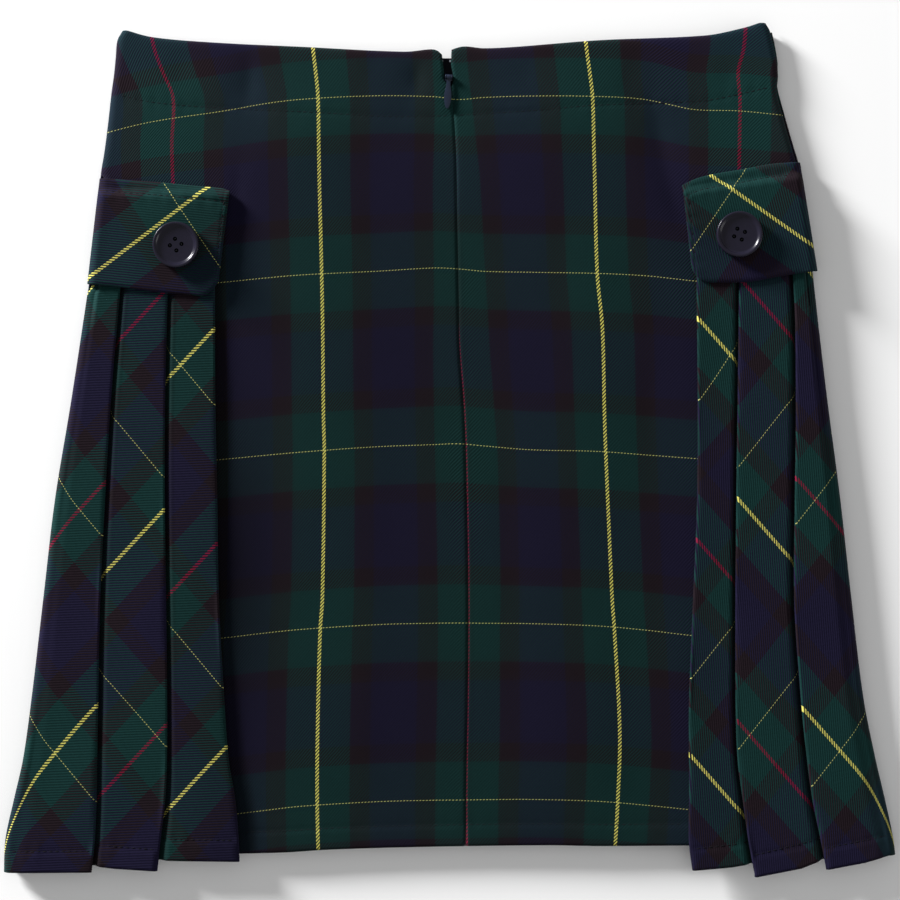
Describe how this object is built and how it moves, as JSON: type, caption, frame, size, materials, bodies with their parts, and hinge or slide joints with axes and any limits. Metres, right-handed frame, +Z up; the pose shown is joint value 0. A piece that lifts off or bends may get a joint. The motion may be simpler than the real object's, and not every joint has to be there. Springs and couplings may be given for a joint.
{
  "type": "pleated tartan skort",
  "caption": "Girl's tartan skort laid flat with its back up: bias-cut knife-pleat inserts, buttoned side tabs and a centre back zip with a hinged pull tab.",
  "frame": {"origin": "middle of the outline, on the surface that the skort lies on", "axes": "+X to the right of the back as seen, +Y to the waist, +Z up off the surface"},
  "size_m": [0.4466, 0.4268, 0.0151],
  "materials": {
    "tartan_cloth": "soft twill, dark green, navy and black tartan with thin yellow and red lines",
    "shorts_cloth": "plain navy weave",
    "zip_tape": "flat woven tape",
    "button_plastic": "semi-gloss navy",
    "zip_enamel": "gloss navy enamel"
  },
  "bodies": {
    "skort": {"front_panel": "tartan_cloth", "back_left": "tartan_cloth", "back_right": "tartan_cloth", "pleats_left": "tartan_cloth", "pleats_right": "tartan_cloth", "tab_left": "tartan_cloth", "tab_right": "tartan_cloth", "button_left": "button_plastic", "button_right": "button_plastic", "zip_tape": "zip_tape", "zip_slider": "zip_enamel", "shorts_front_left": "shorts_cloth", "shorts_front_right": "shorts_cloth", "shorts_back_left": "shorts_cloth", "shorts_back_right": "shorts_cloth"},
    "pull_tab": {"zip_pull": "zip_enamel"}
  },
  "joints": [
    {"name": "zip_pull_hinge", "type": "hinge", "parent": "skort", "child": "pull_tab", "pos_m": [-0.00041, 0.18595, 0.0075], "axis": [-0.9986, 0.0523, 0], "range_deg": [0, 150]}
  ]
}
